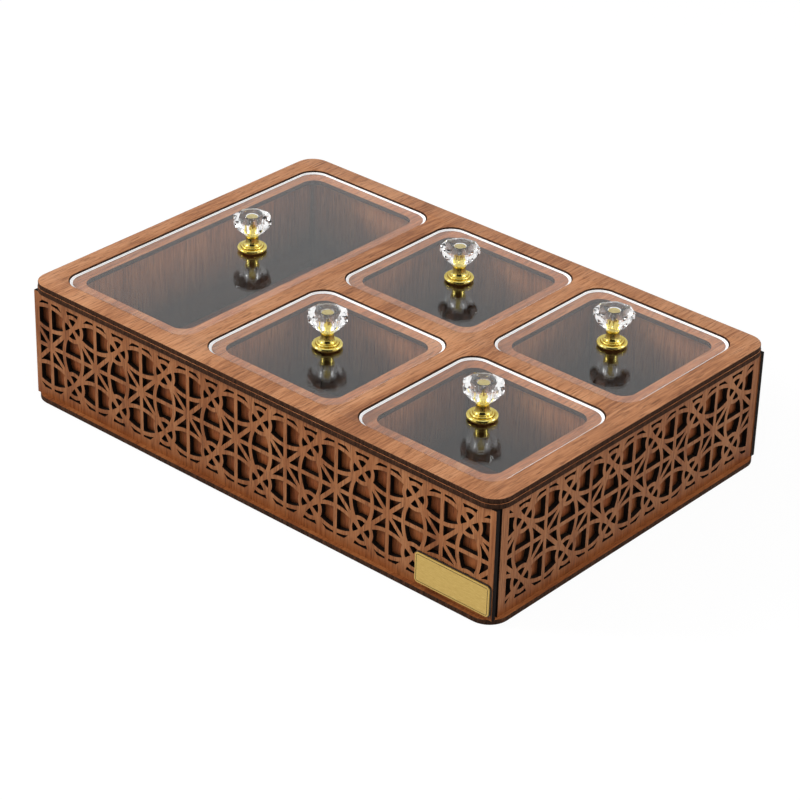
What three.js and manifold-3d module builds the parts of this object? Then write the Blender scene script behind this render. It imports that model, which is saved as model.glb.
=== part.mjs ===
// A serving box: laser-cut walnut board with pierced sides, one long and four square
// compartments, and five clear drop-in lids, each with a crystal knob on a brass stem.
// Millimetres, +Z up. The origin is the middle of the underside of the base.
// X runs along the long front, which faces -Y; the long compartment is at the -X end.
import * as THREE from 'three';
import { mergeGeometries, mergeVertices } from 'three/addons/utils/BufferGeometryUtils.js';
import Module from 'manifold-3d';

const wasm = await Module();
wasm.setup();

// Boards
const BOARD = 3;               // thickness of every wooden board
const GLUE_LINE = 0.1;         // between two boards glued face to face
const WALL_HEIGHT = 69;        // from the base to the ledge board
const OVERRUN = 1;             // cutting bodies run past what they cut by this

// Windows of the top board: two columns of two square ones and a column with one long one
const WINDOW_SIDE = 103.5;
const WINDOW_BAR = 12;         // wood left between two windows
const RIM = 12.75;             // wood left outside the windows
const WINDOW_RADIUS = 12.5;
const LEDGE_WIDTH = 8.5;       // how far the ledge board reaches in under each lid
const LEDGE_RADIUS = 9;
const TOP_RADIUS = 12;
const SQUARE_COLUMNS = 2;
const SQUARE_ROWS = 2;

// Outlines of the other boards, measured from the outline of the top board
const BASE_MARGIN = 1;         // the base stands out past the top by this
const LEDGE_MARGIN = 0.3;      // and the ledge board by this
const LATTICE_INSET = 2;       // the pierced faces stand back from the top by this
const LATTICE_END_PROUD = 0.4; // the long pierced panels run on past the short ones by this
const SHORT_PANEL_GAP = 2.2;   // each short panel stops this far from the long one on its left

// Pierced pattern: stars in a row, and rings halfway between the stars, above and below the row
const STAR_PITCH = 38.3;
const STRAP = 2.6;             // width of every line of the pattern
const RING_RADIUS = 7.8;       // to the middle of the ring's line
const LOW_BORDER = 5.5;        // solid wood below and above the pattern
const HIGH_BORDER = 4.2;
const LONG_END_BORDER = 4;     // solid wood at the ends of the long panels
const SHORT_END_BORDER = 5.9;  // and of the short ones
const LONG_FIRST_STAR = 9.4;   // from the pattern's end to its first star
const SHORT_FIRST_STAR = 32;
const SMALLEST_CUT = 1.2;      // a clipped opening narrower than this is left solid
const ARC_STEPS = 2;           // straight pieces to each curved side of an opening

// Lids
const LID_THICKNESS = 2;
const LID_CLEARANCE = 0.6;     // round each lid, in its window
const LID_REST_GAP = 0.3;      // between a lid and its ledge
const CORNER_STEPS = 4;        // straight pieces to each rounded corner

// Crystal
const CRYSTAL_SIDES = 8;
const CRYSTAL_WIDTH = 22.6;    // across flats, at the girdle
const TABLE_WIDTH = 13.4;      // across flats
const CROWN_HEIGHT = 2;
const GIRDLE_HEIGHT = 3.8;
const PAVILION_HEIGHT = 7.3;
const CULET_WIDTH = 9.2;       // across flats, where the crystal sits on its stem
const CRYSTAL_TURNS = [6, 0, 14, -4, 9].map((degrees) => THREE.MathUtils.degToRad(degrees));

// Brass stem: a ringed foot, a neck with a cup under the crystal, and a stud up into it
const FOOT_RADIUS = 9.1;
const FOOT_HEIGHT = 4.2;
const FOOT_STEP_RADIUS = 7.2;
const NECK_RADIUS = 3.9;
const STEM_HEIGHT = 10.3;      // from the lid to the crystal
const CUP_RADIUS = 4.7;
const CUP_HEIGHT = 1.6;
const STUD_RADIUS = 3.5;
const STUD_LENGTH = 9;
const FIT_GAP = 0.3;           // round the stud, the screw and the joints of the dividers
const ROUND_STEPS = 12;

// Screw that holds a knob from below its lid
const SCREW_RADIUS = 1.9;
const SCREW_HEAD_RADIUS = 3.8;
const SCREW_HEAD_HEIGHT = 1.8;
const SCREW_REACH = 6.5;       // above the lid, into the stem

// Plate on the front, near its right end
const PLATE_LENGTH = 52.4;
const PLATE_HEIGHT = 19.2;
const PLATE_RADIUS = 2.2;
const PLATE_FACE = 0.8;
const PLATE_BACKING = 0.8;
const BACKING_MARGIN = 0.5;    // the dark backing shows round the bright face by this
const PLATE_LIFT = 2.2;        // from the base up to the backing
const PLATE_END_GAP = 0.6;     // from the end of the panel to the backing
const PLATE_GLUE = 0.1;
const PLATE_STEPS = 3;

// Sizes that follow
const WINDOW_STEP = WINDOW_SIDE + WINDOW_BAR;
const LONG_WINDOW = SQUARE_ROWS * WINDOW_STEP - WINDOW_BAR;
const COLUMNS = SQUARE_COLUMNS + 1;
const TOP_LENGTH = COLUMNS * WINDOW_STEP - WINDOW_BAR + 2 * RIM;
const TOP_WIDTH = LONG_WINDOW + 2 * RIM;
const LATTICE_X = TOP_LENGTH / 2 - LATTICE_INSET;
const LATTICE_Y = TOP_WIDTH / 2 - LATTICE_INSET;
const LONG_PANEL = 2 * (LATTICE_X + LATTICE_END_PROUD);
const SHORT_PANEL = 2 * (LATTICE_Y - BOARD - GLUE_LINE) - SHORT_PANEL_GAP;
const WALL_X = LATTICE_X - BOARD - GLUE_LINE;
const WALL_Y = LATTICE_Y - BOARD - GLUE_LINE;
const WALL_Z = BOARD + GLUE_LINE;
const LEDGE_Z = WALL_Z + WALL_HEIGHT + GLUE_LINE;
const TOP_Z = LEDGE_Z + BOARD + GLUE_LINE;
const LID_Z = LEDGE_Z + BOARD + LID_REST_GAP;

// Middles of the windows: the long one first, then the square ones, column by column
const columnX = (column) => (column - (COLUMNS - 1) / 2) * WINDOW_STEP;
const rowY = (row) => (row - (SQUARE_ROWS - 1) / 2) * WINDOW_STEP;
const WINDOWS = [{ name: 'long', x: columnX(0), y: 0, length: WINDOW_SIDE, width: LONG_WINDOW }];
const COLUMN_NAMES = ['middle', 'end'];
const ROW_NAMES = ['front', 'back'];
for (let column = 0; column < SQUARE_COLUMNS; column += 1) {
  for (let row = 0; row < SQUARE_ROWS; row += 1) {
    WINDOWS.push({
      name: `${COLUMN_NAMES[column]}_${ROW_NAMES[row]}`,
      x: columnX(column + 1), y: rowY(row), length: WINDOW_SIDE, width: WINDOW_SIDE,
    });
  }
}

// Materials
const material = (color, roughness, metalness) => new THREE.MeshStandardMaterial({
  color, roughness, metalness, flatShading: true,
});
const walnutTop = material(0xb07a55, 0.5, 0);
const walnutSide = material(0x8f5f40, 0.55, 0);
const walnutInside = material(0x7a5038, 0.6, 0);
const clearSheet = material(0xdfe6e8, 0.05, 0);
const crystal = material(0xf2f5f8, 0.02, 0);
const brass = material(0xd9b23c, 0.2, 1);
const plateGold = material(0xc9a85c, 0.4, 1);
const plateDark = material(0x1e1a16, 0.5, 0);
clearSheet.transparent = true;
clearSheet.opacity = 0.4;

// Points of a rectangle with rounded corners round (x, y), anticlockwise
function roundedRectangle(x, y, length, width, radius, steps) {
  const points = [];
  const corners = [[1, 1], [-1, 1], [-1, -1], [1, -1]];
  corners.forEach(([right, up], quarter) => {
    const cx = x + right * (length / 2 - radius);
    const cy = y + up * (width / 2 - radius);
    for (let step = 0; step <= steps; step += 1) {
      const angle = (quarter + step / steps) * Math.PI / 2;
      points.push(new THREE.Vector2(cx + radius * Math.cos(angle), cy + radius * Math.sin(angle)));
    }
  });
  return points;
}

function extruded(outline, depth) {
  return new THREE.ExtrudeGeometry(new THREE.Shape(outline), { depth, bevelEnabled: false });
}

function solidOf(geometry) {
  geometry.deleteAttribute('normal');
  geometry.deleteAttribute('uv');
  const { attributes, index } = mergeVertices(geometry);
  return new wasm.Manifold(new wasm.Mesh({
    numProp: 3, vertProperties: attributes.position.array, triVerts: index.array,
  }));
}

function geometryOf(solid) {
  const { vertProperties, triVerts } = solid.getMesh();
  const geometry = new THREE.BufferGeometry();
  geometry.setAttribute('position', new THREE.BufferAttribute(vertProperties, 3));
  geometry.setIndex(new THREE.BufferAttribute(triVerts, 1));
  geometry.computeVertexNormals();
  return geometry;
}

// A flat board from its outline and openings, lying on z = 0
function sheet(outline, openings, thickness) {
  const board = extruded(outline, thickness);
  if (openings.length === 0) return board;
  const cuts = openings.map((points) => extruded(points, thickness + 2 * OVERRUN));
  const cutters = mergeGeometries(cuts).translate(0, 0, -OVERRUN);
  return geometryOf(solidOf(board).subtract(solidOf(cutters)));
}

function named(name, geometry, look, x = 0, y = 0, z = 0) {
  const mesh = new THREE.Mesh(geometry, look);
  mesh.name = name;
  mesh.position.set(x, y, z);
  return mesh;
}

// Stands a flat board up on its long edge: its outline's y becomes the height, and its
// outer face, at (x, y), looks towards `heading`.
function standing(name, geometry, look, x, y, z, heading, thickness = BOARD) {
  const inX = x - thickness * Math.cos(heading);
  const inY = y - thickness * Math.sin(heading);
  const mesh = named(name, geometry, look, inX, inY, z);
  mesh.rotation.order = 'ZXY';
  mesh.rotation.set(Math.PI / 2, 0, heading + Math.PI / 2);
  return mesh;
}

const TOWARDS_FRONT = -Math.PI / 2;
const TOWARDS_BACK = Math.PI / 2;
const TOWARDS_RIGHT = 0;
const TOWARDS_LEFT = Math.PI;

// Base, ledge board and top board
function baseBoard() {
  const outline = roundedRectangle(0, 0, TOP_LENGTH + 2 * BASE_MARGIN, TOP_WIDTH + 2 * BASE_MARGIN,
    TOP_RADIUS + BASE_MARGIN, CORNER_STEPS);
  return named('base_board', sheet(outline, [], BOARD), walnutTop);
}

function windowBoard(name, z, margin, inset, radius) {
  const outline = roundedRectangle(0, 0, TOP_LENGTH + 2 * margin, TOP_WIDTH + 2 * margin,
    TOP_RADIUS + margin, CORNER_STEPS);
  const windows = WINDOWS.map((w) => roundedRectangle(w.x, w.y, w.length - 2 * inset,
    w.width - 2 * inset, radius, CORNER_STEPS));
  return named(name, sheet(outline, windows, BOARD), walnutTop, 0, 0, z);
}

// Walls behind the pierced panels, and the dividers between them
function uprightOutline(start, end, slots) {
  const points = [new THREE.Vector2(start, 0)];
  for (const slot of slots.filter((s) => !s.fromTop)) {
    points.push(new THREE.Vector2(slot.from, 0), new THREE.Vector2(slot.from, slot.depth),
      new THREE.Vector2(slot.to, slot.depth), new THREE.Vector2(slot.to, 0));
  }
  points.push(new THREE.Vector2(end, 0), new THREE.Vector2(end, WALL_HEIGHT));
  for (const slot of slots.filter((s) => s.fromTop).reverse()) {
    const floor = WALL_HEIGHT - slot.depth;
    points.push(new THREE.Vector2(slot.to, WALL_HEIGHT), new THREE.Vector2(slot.to, floor),
      new THREE.Vector2(slot.from, floor), new THREE.Vector2(slot.from, WALL_HEIGHT));
  }
  points.push(new THREE.Vector2(start, WALL_HEIGHT));
  return points;
}

function walls() {
  const end = WALL_X;
  const side = WALL_Y - BOARD - GLUE_LINE;
  const long = sheet(uprightOutline(-end, end, []), [], BOARD);
  const short = sheet(uprightOutline(-side, side, []), [], BOARD);
  return [
    standing('wall_front', long, walnutInside, 0, -WALL_Y, WALL_Z, TOWARDS_FRONT),
    standing('wall_back', long, walnutInside, 0, WALL_Y, WALL_Z, TOWARDS_BACK),
    standing('wall_right', short, walnutInside, WALL_X, 0, WALL_Z, TOWARDS_RIGHT),
    standing('wall_left', short, walnutInside, -WALL_X, 0, WALL_Z, TOWARDS_LEFT),
  ];
}

// The cross divider and the row divider are halved over each other.
function dividers() {
  const reach = WALL_Y - BOARD - GLUE_LINE;
  const longX = (columnX(0) + columnX(1)) / 2;
  const crossX = (columnX(1) + columnX(2)) / 2;
  const slotHalf = BOARD / 2 + FIT_GAP;
  const slotDepth = (WALL_HEIGHT + FIT_GAP) / 2;
  const rowStart = longX + BOARD / 2 + GLUE_LINE;
  const rowEnd = WALL_X - BOARD - GLUE_LINE;
  const longBoard = sheet(uprightOutline(-reach, reach, []), [], BOARD);
  const crossBoard = sheet(uprightOutline(-reach, reach,
    [{ from: -slotHalf, to: slotHalf, depth: slotDepth, fromTop: true }]), [], BOARD);
  const rowBoard = sheet(uprightOutline(rowStart, rowEnd,
    [{ from: crossX - slotHalf, to: crossX + slotHalf, depth: slotDepth, fromTop: false }]), [], BOARD);
  return [
    standing('divider_long', longBoard, walnutInside, longX + BOARD / 2, 0, WALL_Z, TOWARDS_RIGHT),
    standing('divider_cross', crossBoard, walnutInside, crossX + BOARD / 2, 0, WALL_Z, TOWARDS_RIGHT),
    standing('divider_row', rowBoard, walnutInside, 0, -BOARD / 2, WALL_Z, TOWARDS_FRONT),
  ];
}

// Pierced pattern. Every star has eight rays, and a circle through the four nearest rings
// goes round it; the rings sit where the circles and the rays of four stars cross.
const RING_PLACE = STAR_PITCH / 2;
const CIRCLE_RADIUS = STAR_PITCH / Math.SQRT2;
const HALF_STRAP = STRAP / 2;

// Where two circles cross, on the left of the way from the first middle to the second
function crossing(a, radiusA, b, radiusB) {
  const way = b.clone().sub(a);
  const distance = way.length();
  const along = (distance ** 2 + radiusA ** 2 - radiusB ** 2) / (2 * distance);
  const off = Math.sqrt(radiusA ** 2 - along ** 2);
  way.normalize();
  return a.clone().addScaledVector(way, along).add(new THREE.Vector2(-way.y, way.x).multiplyScalar(off));
}

// Points from one place to another along a circle, with the first and without the last
function arc(middle, from, to, steps) {
  const start = from.clone().sub(middle);
  let turn = to.clone().sub(middle).angle() - start.angle();
  if (turn > Math.PI) turn -= 2 * Math.PI;
  if (turn < -Math.PI) turn += 2 * Math.PI;
  const points = [];
  for (let step = 0; step < steps; step += 1) {
    points.push(start.clone().rotateAround(new THREE.Vector2(), turn * step / steps).add(middle));
  }
  return points;
}

const turned = (points, quarter, middle) => points.map(
  (point) => point.clone().rotateAround(middle, quarter * Math.PI / 2),
);
const mirrored = (points) => points.map((point) => new THREE.Vector2(point.x, -point.y)).reverse();

// Openings round a star at the origin: a triangle on each side of each level and upright ray
function starOpenings() {
  const next = new THREE.Vector2(STAR_PITCH, 0);
  const outer = CIRCLE_RADIUS + HALF_STRAP;
  const slant = HALF_STRAP * Math.SQRT2;
  const onRay = new THREE.Vector2(STAR_PITCH - Math.sqrt(outer ** 2 - HALF_STRAP ** 2), HALF_STRAP);
  const tipDrop = (STAR_PITCH - slant) / 2;
  const tipReach = Math.sqrt(outer ** 2 / 2 - tipDrop ** 2);
  const tip = new THREE.Vector2(slant + tipDrop - tipReach, tipDrop - tipReach);
  const inner = new THREE.Vector2(HALF_STRAP + slant, HALF_STRAP);
  const triangle = [inner, ...arc(next, onRay, tip, 1), tip];
  const openings = [];
  for (let quarter = 0; quarter < 4; quarter += 1) {
    openings.push(turned(triangle, quarter, new THREE.Vector2()));
    openings.push(turned(mirrored(triangle), quarter, new THREE.Vector2()));
  }
  return openings;
}

// Openings round a ring: a petal below it and a small triangle inside it, four times round
function ringOpenings(middle) {
  const left = new THREE.Vector2(middle.x - RING_PLACE, middle.y - RING_PLACE);
  const right = new THREE.Vector2(middle.x + RING_PLACE, middle.y - RING_PLACE);
  const inner = CIRCLE_RADIUS - HALF_STRAP;
  const side = Math.sqrt(inner ** 2 - HALF_STRAP ** 2);
  const footLeft = new THREE.Vector2(right.x - side, left.y + HALF_STRAP);
  const footRight = new THREE.Vector2(left.x + side, left.y + HALF_STRAP);
  const ringOut = RING_RADIUS + HALF_STRAP;
  const ringIn = RING_RADIUS - HALF_STRAP;
  const shoulderLeft = crossing(right, inner, middle, ringOut);
  const shoulderRight = crossing(middle, ringOut, left, inner);
  const petal = [
    ...arc(right, footLeft, shoulderLeft, ARC_STEPS),
    ...arc(middle, shoulderLeft, shoulderRight, 2),
    ...arc(left, shoulderRight, footRight, ARC_STEPS), footRight,
  ];
  const apex = crossing(left, inner, right, inner);
  const cornerLeft = crossing(right, inner, middle, ringIn);
  const cornerRight = crossing(middle, ringIn, left, inner);
  const triangle = [apex, cornerLeft, cornerRight];
  const openings = [];
  for (let quarter = 0; quarter < 4; quarter += 1) {
    openings.push(turned(petal, quarter, middle));
    openings.push(turned(triangle, quarter, middle));
  }
  return openings;
}

// The part of an opening on one side of a straight line: x or y, under or over a limit
function clipped(points, axis, limit, keepBelow) {
  const inside = (point) => (keepBelow ? point[axis] <= limit : point[axis] >= limit);
  const kept = [];
  points.forEach((point, index) => {
    const next = points[(index + 1) % points.length];
    if (inside(point)) kept.push(point);
    if (inside(point) !== inside(next)) {
      kept.push(point.clone().lerp(next, (limit - point[axis]) / (next[axis] - point[axis])));
    }
  });
  return kept;
}

function spread(points, axis) {
  const values = points.map((point) => point[axis]);
  return Math.max(...values) - Math.min(...values);
}

// Every opening of a panel whose pattern runs from `start` to `end` along x, about y = 0
function panelOpenings(start, end, firstStar, halfHeight) {
  const around = [
    ...starOpenings(), ...ringOpenings(new THREE.Vector2(RING_PLACE, RING_PLACE)),
  ];
  const openings = [];
  const columns = Math.ceil((end - start) / STAR_PITCH) + 1;
  const rows = Math.ceil(halfHeight / STAR_PITCH);
  for (let column = -1; column <= columns; column += 1) {
    for (let row = -rows; row <= rows; row += 1) {
      const star = new THREE.Vector2(start + firstStar + column * STAR_PITCH, row * STAR_PITCH);
      openings.push(...around.map((points) => points.map((point) => point.clone().add(star))));
    }
  }
  const cut = openings.map((points) => {
    let rest = clipped(points, 'x', end, true);
    rest = clipped(rest, 'x', start, false);
    rest = clipped(rest, 'y', halfHeight, true);
    return clipped(rest, 'y', -halfHeight, false);
  });
  return cut.filter((points) => points.length > 2
    && Math.min(spread(points, 'x'), spread(points, 'y')) > SMALLEST_CUT);
}

function piercedPanel(length, endBorder, firstStar) {
  const halfHeight = (WALL_HEIGHT - LOW_BORDER - HIGH_BORDER) / 2;
  const middle = LOW_BORDER + halfHeight;
  const half = length / 2;
  const outline = [[-half, 0], [half, 0], [half, WALL_HEIGHT], [-half, WALL_HEIGHT]]
    .map(([x, y]) => new THREE.Vector2(x, y));
  const openings = panelOpenings(-half + endBorder, half - endBorder, firstStar, halfHeight)
    .map((points) => points.map((p) => new THREE.Vector2(p.x, p.y + middle)));
  return sheet(outline, openings, BOARD);
}

function piercedPanels() {
  const long = piercedPanel(LONG_PANEL, LONG_END_BORDER, LONG_FIRST_STAR);
  const short = piercedPanel(SHORT_PANEL, SHORT_END_BORDER, SHORT_FIRST_STAR);
  const aside = SHORT_PANEL_GAP / 2;
  return [
    standing('lattice_front', long, walnutSide, 0, -LATTICE_Y, WALL_Z, TOWARDS_FRONT),
    standing('lattice_back', long, walnutSide, 0, LATTICE_Y, WALL_Z, TOWARDS_BACK),
    standing('lattice_right', short, walnutSide, LATTICE_X, aside, WALL_Z, TOWARDS_RIGHT),
    standing('lattice_left', short, walnutSide, -LATTICE_X, -aside, WALL_Z, TOWARDS_LEFT),
  ];
}

// A lid with its knob, in a group at the middle of its window, at the height of its underside
function circle(radius, steps) {
  return Array.from({ length: steps }, (_, step) => {
    const angle = step / steps * 2 * Math.PI;
    return new THREE.Vector2(radius * Math.cos(angle), radius * Math.sin(angle));
  });
}

// A round solid from (radius, height) points, which start and end on the axis
function turnedSolid(profile, steps) {
  const geometry = new THREE.LatheGeometry(profile.map(([r, h]) => new THREE.Vector2(r, h)), steps);
  return geometry.rotateX(Math.PI / 2);
}

function lidSheet(window) {
  const outline = roundedRectangle(0, 0, window.length - 2 * LID_CLEARANCE,
    window.width - 2 * LID_CLEARANCE, WINDOW_RADIUS - LID_CLEARANCE, CORNER_STEPS);
  return sheet(outline, [circle(SCREW_RADIUS + FIT_GAP, ROUND_STEPS)], LID_THICKNESS);
}

function crystalSolid() {
  const toCorner = 1 / Math.cos(Math.PI / CRYSTAL_SIDES);
  const girdle = CRYSTAL_WIDTH / 2 * toCorner;
  const table = TABLE_WIDTH / 2 * toCorner;
  const culet = CULET_WIDTH / 2 * toCorner;
  const bore = (STUD_RADIUS + FIT_GAP) * toCorner;
  const boreTop = STUD_LENGTH + FIT_GAP;
  const height = PAVILION_HEIGHT + GIRDLE_HEIGHT + CROWN_HEIGHT;
  return turnedSolid([
    [0, boreTop], [bore, boreTop], [bore, 0], [culet, 0], [girdle, PAVILION_HEIGHT],
    [girdle, PAVILION_HEIGHT + GIRDLE_HEIGHT], [table, height], [0, height],
  ], CRYSTAL_SIDES);
}

function stemSolid() {
  const bore = SCREW_RADIUS + FIT_GAP;
  const boreTop = SCREW_REACH + FIT_GAP;
  const lip = FOOT_HEIGHT / 3;
  const stepHigh = FOOT_HEIGHT * 2 / 3;
  return turnedSolid([
    [0, boreTop], [bore, boreTop], [bore, 0], [FOOT_RADIUS - lip, 0], [FOOT_RADIUS, lip],
    [FOOT_STEP_RADIUS, stepHigh], [NECK_RADIUS, FOOT_HEIGHT],
    [NECK_RADIUS, STEM_HEIGHT - CUP_HEIGHT], [CUP_RADIUS, STEM_HEIGHT],
    [STUD_RADIUS, STEM_HEIGHT], [STUD_RADIUS, STEM_HEIGHT + FIT_GAP + STUD_LENGTH],
    [0, STEM_HEIGHT + FIT_GAP + STUD_LENGTH],
  ], ROUND_STEPS);
}

function screwSolid() {
  const rounding = SCREW_HEAD_HEIGHT / 3;
  return turnedSolid([
    [0, -SCREW_HEAD_HEIGHT], [SCREW_HEAD_RADIUS - rounding, -SCREW_HEAD_HEIGHT],
    [SCREW_HEAD_RADIUS, -SCREW_HEAD_HEIGHT + rounding], [SCREW_HEAD_RADIUS, 0],
    [SCREW_RADIUS, 0], [SCREW_RADIUS, LID_THICKNESS + SCREW_REACH],
    [0, LID_THICKNESS + SCREW_REACH],
  ], ROUND_STEPS);
}

function lidWithKnob(window, turn) {
  const lid = new THREE.Group();
  const onLid = LID_THICKNESS + GLUE_LINE;
  lid.add(named(`lid_${window.name}`, lidSheet(window), clearSheet));
  lid.add(named(`knob_screw_${window.name}`, screwSolid(), brass, 0, 0, -GLUE_LINE));
  lid.add(named(`knob_stem_${window.name}`, stemSolid(), brass, 0, 0, onLid));
  const crystalZ = onLid + STEM_HEIGHT + FIT_GAP;
  const head = named(`knob_crystal_${window.name}`, crystalSolid(), crystal, 0, 0, crystalZ);
  head.rotation.z = turn + Math.PI / CRYSTAL_SIDES;
  lid.add(head);
  lid.position.set(window.x, window.y, LID_Z);
  return lid;
}

// Bare plate on the front panel
function namePlate() {
  const backingLength = PLATE_LENGTH + 2 * BACKING_MARGIN;
  const backingHeight = PLATE_HEIGHT + 2 * BACKING_MARGIN;
  const x = LONG_PANEL / 2 - PLATE_END_GAP - backingLength / 2;
  const z = BOARD + PLATE_LIFT + backingHeight / 2;
  const backing = sheet(roundedRectangle(0, 0, backingLength, backingHeight,
    PLATE_RADIUS + BACKING_MARGIN, PLATE_STEPS), [], PLATE_BACKING);
  const face = sheet(roundedRectangle(0, 0, PLATE_LENGTH, PLATE_HEIGHT,
    PLATE_RADIUS, PLATE_STEPS), [], PLATE_FACE);
  const backingY = -LATTICE_Y - PLATE_GLUE - PLATE_BACKING;
  const faceY = backingY - PLATE_GLUE - PLATE_FACE;
  return [
    standing('plate_backing', backing, plateDark, x, backingY, z, TOWARDS_FRONT, PLATE_BACKING),
    standing('plate_face', face, plateGold, x, faceY, z, TOWARDS_FRONT, PLATE_FACE),
  ];
}

const box = new THREE.Group();
box.add(baseBoard(), ...walls(), ...dividers(), ...piercedPanels());
box.add(windowBoard('ledge_board', LEDGE_Z, LEDGE_MARGIN, LEDGE_WIDTH, LEDGE_RADIUS));
box.add(windowBoard('top_board', TOP_Z, 0, 0, WINDOW_RADIUS));
box.add(...namePlate());
WINDOWS.forEach((window, index) => box.add(lidWithKnob(window, CRYSTAL_TURNS[index])));

export default box;
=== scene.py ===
# %% [markdown]
# # A walnut serving box with five clear lids
#
# The box is glued up from 3 mm walnut-faced board that a laser has cut. Its four sides are pierced
# with a pattern of stars and rings, and its top has one long and four square windows. A clear sheet
# drops into each window and is lifted by a crystal knob on a brass stem.
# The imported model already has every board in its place, so the first thing to do is to load it.
# Lengths below are in millimetres, as a maker would give them, and MM turns them into metres.

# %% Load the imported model
import math

import bmesh
import bpy
from mathutils import Matrix, Vector


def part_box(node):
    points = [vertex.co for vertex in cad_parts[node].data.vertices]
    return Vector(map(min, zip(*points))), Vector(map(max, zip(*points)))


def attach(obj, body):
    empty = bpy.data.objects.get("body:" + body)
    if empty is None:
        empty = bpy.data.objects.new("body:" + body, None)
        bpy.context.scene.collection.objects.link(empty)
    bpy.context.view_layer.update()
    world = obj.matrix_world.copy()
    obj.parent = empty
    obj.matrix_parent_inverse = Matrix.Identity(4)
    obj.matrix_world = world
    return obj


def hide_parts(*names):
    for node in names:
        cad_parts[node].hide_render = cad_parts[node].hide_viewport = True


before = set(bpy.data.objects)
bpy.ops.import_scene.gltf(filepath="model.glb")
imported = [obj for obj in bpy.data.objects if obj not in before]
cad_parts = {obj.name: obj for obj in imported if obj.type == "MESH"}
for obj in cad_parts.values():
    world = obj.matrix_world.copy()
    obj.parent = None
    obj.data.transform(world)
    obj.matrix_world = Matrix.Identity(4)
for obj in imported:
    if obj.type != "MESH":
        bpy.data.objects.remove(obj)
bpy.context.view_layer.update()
MM = 0.001
print("solids:", len(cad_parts))

# %% [markdown]
# ## The camera
#
# The photograph looks down on the near right corner from some way off. A long lens keeps the far
# edges nearly parallel to the near ones, so the lens and the distance matter more than anything
# else for the likeness. The camera is built from its own three directions: forward, across and up.

# %% Aim the camera
CAMERA_TURN = math.radians(40.7093)
CAMERA_DROP = math.radians(29.8774)
CAMERA_ROLL = math.radians(-1.6785)
LENS_PIXELS = 2858.76
PICTURE_PIXELS = 800
SENSOR_WIDTH = 36
BOX_ASIDE = -5.1276
BOX_RAISED = -15.9167
BOX_AWAY = 1705.3045

level = Vector((math.cos(CAMERA_TURN), math.sin(CAMERA_TURN), 0))
forward = Vector((
    -math.sin(CAMERA_TURN) * math.cos(CAMERA_DROP),
    math.cos(CAMERA_TURN) * math.cos(CAMERA_DROP),
    -math.sin(CAMERA_DROP),
))
upright = level.cross(forward)
across = level * math.cos(CAMERA_ROLL) - upright * math.sin(CAMERA_ROLL)
upward = level * math.sin(CAMERA_ROLL) + upright * math.cos(CAMERA_ROLL)

camera_data = bpy.data.cameras.new("camera")
camera_data.sensor_width = SENSOR_WIDTH
camera_data.lens = LENS_PIXELS * SENSOR_WIDTH / PICTURE_PIXELS
camera_data.clip_end = 50
camera = bpy.data.objects.new("camera", camera_data)
bpy.context.collection.objects.link(camera)
camera_place = -(across * BOX_ASIDE + upward * BOX_RAISED + forward * BOX_AWAY) * MM
turned_to_box = Matrix((across, upward, -forward)).transposed().to_4x4()
camera.matrix_world = Matrix.Translation(camera_place) @ turned_to_box
bpy.context.scene.camera = camera
print("lens in mm:", round(camera_data.lens, 1), "at", [round(v, 3) for v in camera_place])

# %% [markdown]
# ## Wiring materials
#
# A finish is a small network of nodes. The first helper makes one node, sets what never changes, and
# links what comes from another node, so that each finish below reads as a list of its steps. Two
# more stand for the nodes that come up most: a sum, and a value stretched between two levels.

# %% Helpers for nodes
def add_node(tree, kind, inputs, **settings):
    """One node. An input is a plain value or the output of another node."""
    node = tree.nodes.new(kind)
    for name, value in settings.items():
        setattr(node, name, value)
    for name, value in inputs.items():
        if isinstance(value, bpy.types.NodeSocket):
            tree.links.new(value, node.inputs[name])
        else:
            node.inputs[name].default_value = value
    return node


def arithmetic(tree, operation, *numbers):
    """The result of one sum on plain values or outputs of nodes."""
    return add_node(tree, "ShaderNodeMath", dict(enumerate(numbers)), operation=operation).outputs[0]


def levels(tree, value, low, high):
    """A value between 0 and 1 stretched to run from low to high."""
    return add_node(tree, "ShaderNodeMapRange", {"Value": value, "To Min": low, "To Max": high}).outputs[0]


def colour(code):
    """The linear colour of a hex code, as shaders want it."""
    shares = [int(code[i:i + 2], 16) / 255 for i in (0, 2, 4)]
    return (*[s / 12.92 if s <= 0.04045 else ((s + 0.055) / 1.055) ** 2.4 for s in shares], 1)


print("walnut brown in linear light:", [round(v, 3) for v in colour("b98057")])

# %% [markdown]
# ## The studio
#
# The box stands on a pale floor in a white room. The camera, glossy and clear surfaces see the room
# as pure white, while a lower level lights the wood, so that its brown comes out as it was mixed.
# Four soft lamps do the rest: a large one from the left, two weaker ones from the right and one
# overhead. A bare lamp would glare in the flat lids, so these four stay out of every reflection.
# Two small lamps are the other way round. They are linked to the knobs alone and draw the streaks
# of light on brass and crystal. What else the brass mirrors is set up with cards, as a photographer
# does: a dark one behind the camera and a grey one opposite, which also lays a haze over the lids.

# %% The white room
ROOM_LIGHT = 0.3


def seen_directly(tree):
    """1 for a ray that shows the room to the camera, straight or through metal and glass, else 0."""
    path = add_node(tree, "ShaderNodeLightPath", {}).outputs
    sees = path["Is Camera Ray"]
    for kind in ("Is Glossy Ray", "Is Transmission Ray"):
        sees = arithmetic(tree, "MAXIMUM", sees, path[kind])
    has_left_wood = arithmetic(tree, "MINIMUM", path["Diffuse Depth"], 1)
    return arithmetic(tree, "MULTIPLY", sees, arithmetic(tree, "SUBTRACT", 1, has_left_wood))


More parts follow.
